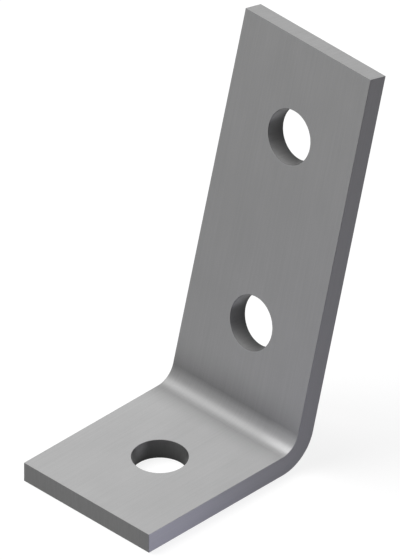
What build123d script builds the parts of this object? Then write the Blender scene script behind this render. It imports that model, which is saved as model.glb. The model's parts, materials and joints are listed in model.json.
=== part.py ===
from build123d import *
import os
from math import cos, radians, sin

# Strut angle fitting: a flat steel bar folded once, so that its two legs open to more than a
# right angle. The short leg lies flat and has one bolt hole. The long leg rises from it at 75
# degrees, which leaves 105 degrees between the legs, and has two. All the holes are on the bar's
# middle line, and both legs' first holes are equally far from the fold.
#
# Frame: the origin is the centre of the short leg's hole, on the seat face under that leg.
# +X runs along the short leg to the fold, +Y across the bar and +Z up from the seat face.
# Lengths are in millimetres and angles in degrees.

# Flat bar
bar_width = 40.0
bar_thickness = 5.0

# Fold
leg_rise = 75.0
inside_fold_radius = 5.0

# Bolt holes, spaced along each leg from the outer corner, where the two outer faces would meet
hole_diameter = 13.0
corner_to_first_hole = 27.0
hole_pitch = 47.0
last_hole_to_end = 23.5
short_leg_holes = 1
long_leg_holes = 2

# Broken edges
outline_edge_radius = 0.1
hole_rim_radius = 0.1


def hole_stations(hole_count):
    """Distances from the outer corner to the holes of a leg."""
    return [corner_to_first_hole + n * hole_pitch for n in range(hole_count)]


def leg_length(hole_count):
    """Length of a leg's outer face, from the outer corner to the free end."""
    return hole_stations(hole_count)[-1] + last_hole_to_end


short_leg_length = leg_length(short_leg_holes)
long_leg_length = leg_length(long_leg_holes)

# Each leg has a plane in the middle of its thickness. The plane's origin is above the outer
# corner, its x axis runs towards the leg's free end and its z axis towards the leg's inner face.
outer_corner = Vector(corner_to_first_hole, 0, 0)
short_leg = Plane(outer_corner, x_dir=(-1, 0, 0), z_dir=(0, 0, 1)).offset(bar_thickness / 2)
long_leg = Plane(Location(outer_corner, (0, -leg_rise, 0))).offset(bar_thickness / 2)

with BuildPart() as angle_fitting:
    # The bar seen from its edge: the line of the outer faces, thickened towards the inner ones
    with BuildSketch(Plane.XZ):
        with BuildLine():
            outer_faces = FilletPolyline(
                (outer_corner.X - short_leg_length, 0),
                (outer_corner.X, 0),
                (
                    outer_corner.X + long_leg_length * cos(radians(leg_rise)),
                    long_leg_length * sin(radians(leg_rise)),
                ),
                radius=inside_fold_radius + bar_thickness,
            )
            offset(outer_faces, amount=bar_thickness, side=Side.LEFT)
        make_face()
    extrude(amount=bar_width / 2, both=True)

    # All the edges of the folded bar, apart from the two lines on each face where the fold begins
    side_edges = angle_fitting.faces().filter_by(Axis.Y).edges()
    free_ends = [
        angle_fitting.faces().sort_by(Axis(leg.origin, leg.x_dir))[-1]
        for leg in (short_leg, long_leg)
    ]
    end_edges = [edge for end in free_ends for edge in end.edges().filter_by(Axis.Y)]
    fillet(side_edges + end_edges, outline_edge_radius)

    # Bolt holes, square to each leg, with both rims broken
    for leg, hole_count in ((short_leg, short_leg_holes), (long_leg, long_leg_holes)):
        with Locations(leg):
            with Locations(*[(station, 0) for station in hole_stations(hole_count)]):
                Hole(hole_diameter / 2, depth=bar_thickness)
        fillet(angle_fitting.edges(Select.LAST).filter_by(GeomType.CIRCLE), hole_rim_radius)

angle_fitting.part.label = "angle_fitting"

os.makedirs("parts", exist_ok=True)
export_step(angle_fitting.part, "parts/angle_fitting.step")
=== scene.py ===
"""The looks of a strut angle fitting: zinc-plated steel on a plain pale floor, in soft studio light.

The fitting is one folded bar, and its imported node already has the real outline, fold, holes and
broken edges. So the node stays, and this script gives it its finish, its light and its camera.
Lengths are in metres.
"""
import json
from functools import cached_property
from math import atan2, pi, radians, tan

import bpy
from mathutils import Euler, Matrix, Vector


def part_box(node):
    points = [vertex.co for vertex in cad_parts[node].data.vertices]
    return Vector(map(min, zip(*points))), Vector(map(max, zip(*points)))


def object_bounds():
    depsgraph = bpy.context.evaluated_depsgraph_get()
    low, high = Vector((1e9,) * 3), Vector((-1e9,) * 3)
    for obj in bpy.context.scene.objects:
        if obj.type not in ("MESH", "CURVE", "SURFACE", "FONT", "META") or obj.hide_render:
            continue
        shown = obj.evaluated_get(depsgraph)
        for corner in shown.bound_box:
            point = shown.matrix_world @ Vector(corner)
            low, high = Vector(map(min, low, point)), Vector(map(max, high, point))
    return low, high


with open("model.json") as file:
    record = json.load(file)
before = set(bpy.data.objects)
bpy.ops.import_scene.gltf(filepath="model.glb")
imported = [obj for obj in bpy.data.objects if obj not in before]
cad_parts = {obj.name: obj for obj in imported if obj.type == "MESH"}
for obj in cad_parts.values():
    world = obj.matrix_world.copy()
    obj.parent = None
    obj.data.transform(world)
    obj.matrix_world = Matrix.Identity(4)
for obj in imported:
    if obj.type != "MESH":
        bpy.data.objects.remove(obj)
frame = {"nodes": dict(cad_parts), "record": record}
cad_low, cad_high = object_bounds()
fitting = frame["nodes"]["angle_fitting"]
mounts = {mount["name"]: mount for mount in frame["record"]["mounts"]}

# The bar, from the frame, whose origin is in the short leg's hole. That hole and the last one are equally
# far from the ends of the bar. The legs' outer faces would meet at the outer corner.
BOX_LOW, BOX_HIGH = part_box("angle_fitting")
BAR_HALF_WIDTH = BOX_HIGH.y
BAR_THICKNESS = mounts["short_leg_bolt_face"]["pos_m"][2]
HOLE_RADIUS = mounts["short_leg_hole"]["dims"]["r_mm"] / 1000
HOLE_TO_END = -BOX_LOW.x
LONG_LEG_NORMAL = Vector(mounts["long_leg_seat"]["axis"])
LEG_RISE = atan2(LONG_LEG_NORMAL.x, -LONG_LEG_NORMAL.z)
OUTER_CORNER = LONG_LEG_NORMAL.dot(Vector(mounts["long_leg_seat"]["pos_m"])) / LONG_LEG_NORMAL.x

# The fold: its radii, its centre, and the length of bar that it takes. Its inside radius is the same as
# the bar's thickness.
INSIDE_FOLD_RADIUS = BAR_THICKNESS
OUTSIDE_FOLD_RADIUS = INSIDE_FOLD_RADIUS + BAR_THICKNESS
MIDDLE_FOLD_RADIUS = INSIDE_FOLD_RADIUS + BAR_THICKNESS / 2
FOLD_SETBACK = OUTSIDE_FOLD_RADIUS * tan(LEG_RISE / 2)
FOLD_X = OUTER_CORNER - FOLD_SETBACK
FOLD_Z = OUTSIDE_FOLD_RADIUS
FOLD_LENGTH = MIDDLE_FOLD_RADIUS * LEG_RISE

# The broken edges are this wide. A face keeps its finish up to this far onto them, and from there it goes
# over into the finish of the next face.
BROKEN_EDGE = 0.0001
FACE_KEEPS = 0.00002


def station_on_long_leg(mount_name):
    """How far along the flat bar a point of the long leg was, counted from where the fold begins."""
    place = Vector(mounts[mount_name]["pos_m"])
    from_corner = (place - Vector((OUTER_CORNER, 0.0, 0.0))).length
    return FOLD_LENGTH + from_corner - FOLD_SETBACK


HOLE_STATIONS = (
    -FOLD_X,
    station_on_long_leg("long_leg_lower_hole"),
    station_on_long_leg("long_leg_upper_hole"),
)
SHORT_END = HOLE_STATIONS[0] - HOLE_TO_END
LONG_END = HOLE_STATIONS[-1] + HOLE_TO_END


class Value:
    """One output of a shader node. Python's operators add Math nodes to it."""

    def __init__(self, shader, socket):
        self.shader = shader
        self.socket = socket

    def output(self, name):
        """Another output of the same node."""
        return Value(self.shader, self.socket.node.outputs[name])

    def __add__(self, other):
        return self.shader.maths("ADD", self, other)

    def __sub__(self, other):
        return self.shader.maths("SUBTRACT", self, other)

    def __rsub__(self, other):
        return self.shader.maths("SUBTRACT", other, self)

    def __mul__(self, other):
        return self.shader.maths("MULTIPLY", self, other)

    def __truediv__(self, other):
        return self.shader.maths("DIVIDE", self, other)

    def __neg__(self):
        return self.shader.maths("SUBTRACT", 0.0, self)

    def __abs__(self):
        return self.shader.maths("ABSOLUTE", self)

    __radd__ = __add__
    __rmul__ = __mul__


class Shader:
    """The nodes of a material or of the world."""

    def __init__(self, owner):
        owner.use_nodes = True
        self.tree = owner.node_tree
        self.tree.nodes.clear()

    def node(self, kind, settings=None, sockets=None):
        """Adds a node, with its settings first and then its sockets' values and links.

        Gives the node's first output, where it has one.
        """
        node = self.tree.nodes.new(kind)
        for name, setting in (settings or {}).items():
            setattr(node, name, setting)
        for name, value in (sockets or {}).items():
            if isinstance(value, Value):
                self.tree.links.new(value.socket, node.inputs[name])
            else:
                node.inputs[name].default_value = value
        return Value(self, node.outputs[0]) if node.outputs else None

    def maths(self, operation, *values):
        return self.node("ShaderNodeMath", {"operation": operation}, dict(enumerate(values)))

    def smallest(self, first, *others):
        for other in others:
            first = self.maths("MINIMUM", first, other)
        return first

    def largest(self, first, *others):
        for other in others:
            first = self.maths("MAXIMUM", first, other)
        return first

    def length(self, first, second):
        """The distance to a point that is this far off in two directions, square to each other."""
        return self.maths("SQRT", first * first + second * second)

    def step(self, value, start, end):
        """0 up to start, 1 from end on, and smooth between them."""
        settings = {"interpolation_type": "SMOOTHSTEP"}
        sockets = {"Value": value, "From Min": start, "From Max": end}
        return self.node("ShaderNodeMapRange", settings, sockets)

    def noise(self, place, per_metre, detail):
        """Noise about 0, with its own number of grains in a metre along each direction of place."""
        stretched = self.node(
            "ShaderNodeVectorMath", {"operation": "MULTIPLY"}, {0: place, 1: per_metre}
        )
        sockets = {"Vector": stretched, "Scale": 1.0, "Detail": detail}
        return self.node("ShaderNodeTexNoise", sockets=sockets) - 0.5


class BarCoordinates:
    """Where a point of the fitting was on the flat bar, before it was folded.

    A distance or a mask adds its nodes once, when it is first asked for.
    """

    def __init__(self, shader):
        self.shader = shader
        place = shader.node("ShaderNodeTexCoord").output("Object")
        parts = shader.node("ShaderNodeSeparateXYZ", sockets={"Vector": place})
        out = parts.output("X") - FOLD_X
        up = parts.output("Z") - FOLD_Z

        # How far the bar is turned here: not at all on the short leg, and all the way on the long one
        turn = shader.maths("ARCTAN2", out, -up)
        turn = shader.smallest(shader.largest(turn, 0.0), LEG_RISE)
        cosine = shader.maths("COSINE", turn)
        sine = shader.maths("SINE", turn)
        self.turned = turn / LEG_RISE

        # Counted from where the fold begins, from the bar's middle line and from its outer face
        self.along = out * cosine + up * sine + turn * MIDDLE_FOLD_RADIUS
        self.across = parts.output("Y")
        self.from_outer_face = OUTSIDE_FOLD_RADIUS + up * cosine - out * sine
        self.place = shader.node(
            "ShaderNodeCombineXYZ",
            sockets={"X": self.along, "Y": self.across, "Z": self.from_outer_face},
        )

    @cached_property
    def past_hole(self):
        """How far along past the middle of the nearest hole, and less than 0 before it."""
        station = HOLE_STATIONS[0]
        for hole, next_hole in zip(HOLE_STATIONS, HOLE_STATIONS[1:]):
            nearer_next = self.shader.maths("GREATER_THAN", self.along, (hole + next_hole) / 2)
            station = station + nearer_next * (next_hole - hole)
        return self.along - station

    @cached_property
    def from_hole(self):
        """Distance from the wall of the nearest hole."""
        return self.shader.length(self.past_hole, self.across) - HOLE_RADIUS

    @cached_property
    def from_end(self):
        """Distance from the nearer of the two ends of the bar."""
        return self.shader.smallest(self.along - SHORT_END, LONG_END - self.along)

    @cached_property
    def from_side(self):
        """Distance from the nearer of the two sides of the bar."""
        return BAR_HALF_WIDTH - abs(self.across)

    @cached_property
    def from_inner_face(self):
        """Distance from the face that is inside the fold."""
        return BAR_THICKNESS - self.from_outer_face

    @cached_property
    def from_fold(self):
        """Distance from the fold along either leg, and 0 in the fold."""
        return self.shader.largest(-self.along, self.along - FOLD_LENGTH, 0.0)

    @cached_property
    def from_edge(self):
        """Distance from the nearest edge: the second smallest of the distances from all the faces."""
        nearest = self.from_outer_face
        second = BAR_THICKNESS
        for face in (self.from_inner_face, self.from_side, self.from_end, self.from_hole):
            second = self.shader.smallest(second, self.shader.largest(nearest, face))
            nearest = self.shader.smallest(nearest, face)
        return second

    def on_face(self, distance):
        """1 on the face that this is the distance from, and 0 past its broken edge."""
        return 1.0 - self.shader.step(distance, FACE_KEEPS, BROKEN_EDGE)

    @cached_property
    def on_inner_face(self):
        return self.on_face(self.from_inner_face)

    @cached_property
    def on_side(self):
        return self.on_face(self.from_side)

    @cached_property
    def on_end(self):
        return self.on_face(self.from_end)

    @cached_property
    def in_hole(self):
        return self.on_face(self.from_hole)


# The finish of the fitting
ZINC_GREY = 0.44
ZINC_METALLIC = 0.134
ZINC_ROUGHNESS = 0.49
ZINC_SPECULAR = 0.275

# The marks in the zinc, by how many there are in a metre along, across and through the bar. The grain of
# the cuts darkens and lightens the sheared ends and the walls of the holes, and the rolled grain the rest.
ROLLED_GRAIN = (35.0, 2200.0, 2200.0)
CUT_GRAIN = (2600.0, 2600.0, 180.0)
CLOUDS = (90.0, 140.0, 140.0)
SPECKS = (3000.0, 3000.0, 3000.0)

# How much the marks change the grey and the roughness
ROLLED_GRAIN_TONE = 0.16
CUT_GRAIN_TONE = 0.25
CLOUD_TONE = 0.12
SPECK_TONE = 0.08
ROLLED_GRAIN_ROUGHNESS = 0.10
CLOUD_ROUGHNESS = 0.10

# The rolled grain stands up a little all over, and the specks by this share of it
RELIEF_HEIGHT = 0.00002
RELIEF_STRENGTH = 0.25
SPECK_RELIEF = 0.5

# Along the broken edges a fine line this wide is darker and rougher: a painted shade that tones down the
# edges' glint
EDGE_LINE_WIDTH = 0.00015
EDGE_LINE_DARKNESS = 0.16
EDGE_LINE_ROUGHER = 0.30

# The hollow of the fold has a painted shade, darker where shade falls in the crease, and it is smoother.
# This ends this far along each leg, and past this share of the turn its darkness goes over into the long
# leg's.
HOLLOW_REACH_SHORT_LEG = 0.0063
HOLLOW_REACH_LONG_LEG = 0.0095
HOLLOW_PAINTED_SHADE_SHORT_LEG = 0.324
HOLLOW_PAINTED_SHADE_LONG_LEG = 0.407
HOLLOW_GOES_OVER = 0.75
HOLLOW_SMOOTHER = 0.034

# Towards the front side of the bar, from this far off its middle line, the painted shade in the hollow is
# lighter, and the hollow is smoother still
FRONT_PART_FROM = 0.008
FOLD_SHADE_LIGHTER_AT_FRONT = 0.39
FOLD_SMOOTHER_AT_FRONT = 0.095

# The long leg has a painted shade, this much darker at the fold, and lighter all the way to the free end
LONG_LEG_PAINTED_SHADE = 0.113

# The walls of a hole have a painted shade, darker than the faces, and more so with depth below the inner
# face. Across the bar it is lightest this far off the middle line, towards the back side, and it darkens
# away from there.
WALL_PAINTED_SHADE = 0.414
WALL_DARKENS_WITH_DEPTH = 0.437
WALL_LIGHTEST_ACROSS = 0.0032
WALL_DARKENS_AWAY = 0.473
WALL_DARKEST = 0.9

# At the back of each hole, painted light takes some of the painted shade off the wall, but never leaves it
# lighter than the faces. The painted light fades with depth. Its middle lies this far off the hole's
# across the bar, and on the long leg this far along it too, towards the free end.
LIT_PATCH_ACROSS = 0.0068
LIT_PATCH_ALONG_LONG_LEG = 0.0029
LIT_PATCH_REACH = 0.0028
LIT_PATCH_LIGHTER = 1.035
LIT_PATCH_FADES_WITH_DEPTH = 1.173

# The sheared ends are darker than the faces, and the long leg's more so: partly duller cut steel, and
# partly painted shade that tones down the lamps' light on them
SHORT_END_DARKNESS = 0.139
LONG_END_DARKNESS = 0.166


def between(first, second, share):
    """Goes evenly from the first value, where the share is 0, to the second, where it is 1."""
    return first + share * (second - first)


def fold_shade_share(bar):
    """How strong the fold's painted shade and smoothness are: 1 in the hollow of the fold, and fading
    along the legs.
    """
    reach = between(HOLLOW_REACH_SHORT_LEG, HOLLOW_REACH_LONG_LEG, bar.turned)
    near_fold = 1.0 - bar.shader.smallest(bar.from_fold / reach, 1.0)
    return near_fold * near_fold * bar.on_inner_face * (1.0 - bar.on_side)


def hollow_painted_shade(bar, fold_share, towards_front):
    """How much darker the painted shade in the hollow of the fold makes the zinc."""
    by_long_leg = bar.shader.step(bar.turned, HOLLOW_GOES_OVER, 1.0)
    darkness = between(HOLLOW_PAINTED_SHADE_SHORT_LEG, HOLLOW_PAINTED_SHADE_LONG_LEG, by_long_leg)
    return fold_share * (1.0 - FOLD_SHADE_LIGHTER_AT_FRONT * towards_front) * darkness


def long_leg_painted_shade(bar):
    """How much the long leg's painted shade darkens it. It comes in round the fold and goes out towards
    the free end.
    """
    to_free_end = bar.from_fold / (LONG_END - FOLD_LENGTH)
    return bar.turned * bar.turned * (1.0 - to_free_end) * (1.0 - bar.on_side) * LONG_LEG_PAINTED_SHADE


def wall_painted_shade(bar):
    """How much the painted shade darkens the wall of a hole, against the faces."""
    shader = bar.shader
    deep = bar.from_inner_face / BAR_THICKNESS
    away = (bar.across - WALL_LIGHTEST_ACROSS) / HOLE_RADIUS
    darkness = WALL_PAINTED_SHADE + WALL_DARKENS_WITH_DEPTH * deep + WALL_DARKENS_AWAY * away * away

    # A patch of painted light on the back of the hole's wall
    from_lit_patch = shader.length(bar.past_hole - bar.turned * LIT_PATCH_ALONG_LONG_LEG, bar.across - LIT_PATCH_ACROSS)
    lit_patch = 1.0 - shader.step(from_lit_patch, 0.0, LIT_PATCH_REACH)
    darkness = darkness - lit_patch * (LIT_PATCH_LIGHTER - LIT_PATCH_FADES_WITH_DEPTH * deep)
    return bar.in_hole * shader.smallest(shader.largest(darkness, 0.0), WALL_DARKEST)


def end_darkness(bar):
    """How much darker a sheared end is than the faces: partly duller cut steel, partly painted shade."""
    return bar.on_end * between(SHORT_END_DARKNESS, LONG_END_DARKNESS, bar.turned)


def zinc_steel():
    """Satin zinc on rolled steel: a fine grain along the bar, which goes round the fold with it."""
    material = bpy.data.materials.new("zinc_steel")
    shader = Shader(material)
    bar = BarCoordinates(shader)

    cut = shader.largest(bar.on_end, bar.in_hole)
    grain = shader.noise(bar.place, ROLLED_GRAIN, detail=3.0)
    rolled_grain = grain * (1.0 - cut)
    cut_grain = shader.noise(bar.place, CUT_GRAIN, detail=2.0) * cut
    clouds = shader.noise(bar.place, CLOUDS, detail=3.0)
    specks = shader.noise(bar.place, SPECKS, detail=1.0)

    # The hollow of the fold gets a painted shade and a smoother finish
    fold_share = fold_shade_share(bar)
    # Towards the front side the hollow's painted shade is lighter, and the hollow smoother
    towards_front = shader.step(-bar.across, FRONT_PART_FROM, BAR_HALF_WIDTH)
    # The painted shade along the broken edges
    edge_line = 1.0 - shader.step(bar.from_edge, 0.0, EDGE_LINE_WIDTH)

    tone = 1.0 + rolled_grain * ROLLED_GRAIN_TONE + cut_grain * CUT_GRAIN_TONE
    tone = tone + clouds * CLOUD_TONE + specks * SPECK_TONE
    grey = ZINC_GREY * tone
    # These darknesses are painted shade; the ends' darkness is painted shade only in part
    darknesses = (
        hollow_painted_shade(bar, fold_share, towards_front),
        long_leg_painted_shade(bar),
        wall_painted_shade(bar),
        end_darkness(bar),
        edge_line * EDGE_LINE_DARKNESS,
    )
    for darkness in darknesses:
        grey = grey * (1.0 - darkness)
    colour = shader.node("ShaderNodeCombineColor", sockets={"Red": grey, "Green": grey, "Blue": grey})

    rough = ZINC_ROUGHNESS - fold_share * (HOLLOW_SMOOTHER + FOLD_SMOOTHER_AT_FRONT * towards_front)
    rough = rough + edge_line * EDGE_LINE_ROUGHER
    rough = rough + rolled_grain * ROLLED_GRAIN_ROUGHNESS + clouds * CLOUD_ROUGHNESS
    relief = shader.node(
        "ShaderNodeBump",
        sockets={
            "Strength": RELIEF_STRENGTH,
            "Distance": RELIEF_HEIGHT,
            "Height": grain + specks * SPECK_RELIEF,
        },
    )
    surface = shader.node(
        "ShaderNodeBsdfPrincipled",
        sockets={
            "Base Color": colour,
            "Metallic": ZINC_METALLIC,
            "Roughness": rough,
            "Specular IOR Level": ZINC_SPECULAR,
            "Normal": relief,
        },
    )
    shader.node("ShaderNodeOutputMaterial", sockets={"Surface": surface})
    return material


fitting.material_slots[0].material = zinc_steel()

# The studio. At level 1 a white surface shows white.
FLOOR_SIDE = 6.0
FLOOR_GREY = (0.20, 0.20, 0.20, 1.0)
FLOOR_BOUNCE = (0.09, 0.09, 0.09, 1.0)
FLOOR_GLOW = 0.86
FLOOR_GAP = 0.00002
AMBIENT_LEVEL = 0.0465
WHITE = (1.0, 1.0, 1.0, 1.0)

# The colours of the lamps
PLAIN_LIGHT = (1.0, 1.0, 1.0)
VIOLET_LIGHT = (0.5, 0.35, 1.0)
COOL_LIGHT = (1.0, 1.0, 1.32)

# The side fill is beside the free end of the short leg, and its middle is lower than the leg's upper face
SIDE_FILL_DISTANCE = 0.038
SIDE_FILL_HEIGHT = 0.0035


def seen_directly(shader):
    """1 for what the camera sees, itself or through gloss and glass."""
    rays = shader.node("ShaderNodeLightPath")
    seen = rays.output("Is Camera Ray") + rays.output("Is Glossy Ray")
    return shader.smallest(seen + rays.output("Is Transmission Ray"), 1.0)


def pale_floor():
    """A floor that shows white, with a soft shadow on it, and throws little light back."""
    material = bpy.data.materials.new("pale_floor")
    shader = Shader(material)
    matt = shader.node("ShaderNodeBsdfDiffuse", sockets={"Color": FLOOR_GREY})
    glow = shader.node("ShaderNodeEmission", sockets={"Color": WHITE, "Strength": FLOOR_GLOW})
    bright = shader.node("ShaderNodeAddShader", sockets={0: matt, 1: glow})
    bounce = shader.node("ShaderNodeBsdfDiffuse", sockets={"Color": FLOOR_BOUNCE})
    surface = shader.node("ShaderNodeMixShader", sockets={0: seen_directly(shader), 1: bounce, 2: bright})
    shader.node("ShaderNodeOutputMaterial", sockets={"Surface": surface})
    material.cycles.emission_sampling = "NONE"
    return material


def add_floor():
    """The floor lies a hair under the fitting, so that the two never share a plane."""
    bpy.ops.mesh.primitive_plane_add(size=FLOOR_SIDE, location=(0.0, 0.0, cad_low.z - FLOOR_GAP))
    floor = bpy.context.object
    floor.name = "floor"
    floor.data.materials.append(pale_floor())


def light_world():
    """The world shows white, and gives the fitting a little light all round."""
    world = bpy.data.worlds.new("studio")
    bpy.context.scene.world = world
    shader = Shader(world)
    ambient = shader.node("ShaderNodeBackground", sockets={"Color": WHITE, "Strength": AMBIENT_LEVEL})
    white = shader.node("ShaderNodeBackground", sockets={"Color": WHITE, "Strength": 1.0})
    surface = shader.node("ShaderNodeMixShader", sockets={0: seen_directly(shader), 1: ambient, 2: white})
    shader.node("ShaderNodeOutputWorld", sockets={"Surface": surface})
    world.cycles.sampling_method = "NONE"


def add_lamp(data, place, colour):
    """Puts a lamp in its place. The camera doesn't see the lamp itself."""
    data.color = colour
    lamp = bpy.data.objects.new(data.name, data)
    lamp.location = place
    lamp.visible_camera = False
    bpy.context.scene.collection.objects.link(lamp)
    return lamp


def add_softbox(name, direction, distance, side, level, colour=PLAIN_LIGHT):
    """A square lamp that faces the fitting and lights a white surface that faces it to this level."""
    towards = Vector(direction).normalized()
    data = bpy.data.lights.new(name, "AREA")
    data.shape = "SQUARE"
    data.size = side
    data.energy = level * pi**2 * distance**2
    lamp = add_lamp(data, (cad_low + cad_high) / 2 + towards * distance, colour)
    lamp.rotation_euler = towards.to_track_quat("Z", "Y").to_euler()


def add_bulb(name, place, radius, distance, level, colour=PLAIN_LIGHT):
    """A small round lamp that lights a white surface at this distance to this level."""
    data = bpy.data.lights.new(name, "POINT")
    data.shadow_soft_size = radius
    data.energy = level * 4 * pi**2 * distance**2
    add_lamp(data, place, colour)


def light_studio():
    add_softbox("key", direction=(-0.114, 0.418, 0.81), distance=3.0, side=2.0, level=1.092)
    add_softbox(
        "front_fill",
        direction=(0.1, -0.99, 0.05),
        distance=1.0,
        side=0.6,
        level=0.037,
        colour=VIOLET_LIGHT,
    )
    add_softbox("back_fill", direction=(1.0, 0.0, 0.0), distance=1.0, side=0.3, level=0.3)
    add_bulb(
        "side_fill",
        place=(BOX_LOW.x, -BAR_HALF_WIDTH - SIDE_FILL_DISTANCE, SIDE_FILL_HEIGHT),
        radius=0.003,
        distance=SIDE_FILL_DISTANCE,
        level=0.35,
        colour=COOL_LIGHT,
    )


# The camera looks down from the front left, in parallel, as the photograph does. The middle of its frame
# is this far to the right of the fitting's middle, and this far above it.
CAMERA_AZIMUTH = radians(-45.0)
CAMERA_ELEVATION = radians(35.264)
CAMERA_DISTANCE = 1.0
FRAME_HEIGHT = 0.1266
FRAME_RIGHT = -0.00109
FRAME_UP = -0.00088


def add_camera():
    data = bpy.data.cameras.new("camera")
    data.type = "ORTHO"
    data.ortho_scale = FRAME_HEIGHT
    camera = bpy.data.objects.new("camera", data)
    bpy.context.scene.collection.objects.link(camera)
    bpy.context.scene.camera = camera
    back = Vector((0.0, -1.0, 0.0))
    back.rotate(Euler((-CAMERA_ELEVATION, 0.0, CAMERA_AZIMUTH)))
    turn = back.to_track_quat("Z", "Y")
    aim = (cad_low + cad_high) / 2 + turn @ Vector((FRAME_RIGHT, FRAME_UP, 0.0))
    camera.location = aim + back * CAMERA_DISTANCE
    camera.rotation_euler = turn.to_euler()


add_floor()
light_world()
light_studio()
add_camera()

bpy.context.scene.view_settings.view_transform = "Standard"
